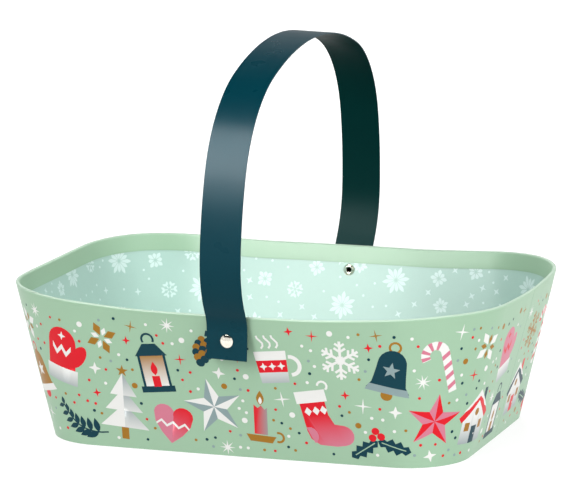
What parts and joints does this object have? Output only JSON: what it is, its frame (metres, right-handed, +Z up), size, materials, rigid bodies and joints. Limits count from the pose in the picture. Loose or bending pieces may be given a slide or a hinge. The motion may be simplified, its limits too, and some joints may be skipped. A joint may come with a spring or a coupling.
{
  "type": "garden basket",
  "caption": "Shallow rectangular trug of paper-covered board with leaning walls, rounded corners and a flat strap handle that folds down either way.",
  "frame": {"origin": "middle of the underside, on the table", "axes": "+X along the length, +Y across the width along the handle's pivots, +Z up; the picture looks at the long side on -Y"},
  "size_m": [0.3594, 0.299, 0.2784],
  "materials": {
    "greyboard": "bare grey-brown board",
    "printed_wrap": "satin printed paper, sage green",
    "lining_paper": "satin printed paper, pale mint",
    "base_paper": "plain satin paper, sage green",
    "strap_paint": "semi-gloss dark teal paint on steel strap",
    "rivet_nickel": "bright nickel plate",
    "collar_fibre": "dark pressed fibre"
  },
  "bodies": {
    "tray": {"wall_board": "greyboard", "base_board": "greyboard", "outer_wrap": "printed_wrap", "wall_lining": "lining_paper", "base_lining": "lining_paper", "base_cover": "base_paper", "front_rivet": "rivet_nickel", "back_rivet": "rivet_nickel", "front_collar": "collar_fibre", "back_collar": "collar_fibre", "front_washer": "rivet_nickel", "back_washer": "rivet_nickel"},
    "handle": {"handle_strap": "strap_paint"}
  },
  "joints": [
    {"name": "handle_swing", "type": "hinge", "parent": "tray", "child": "handle", "pos_m": [0.0035, 0, 0.0875], "axis": [0, 1, 0], "range_deg": [-91.6, 88.4]}
  ]
}
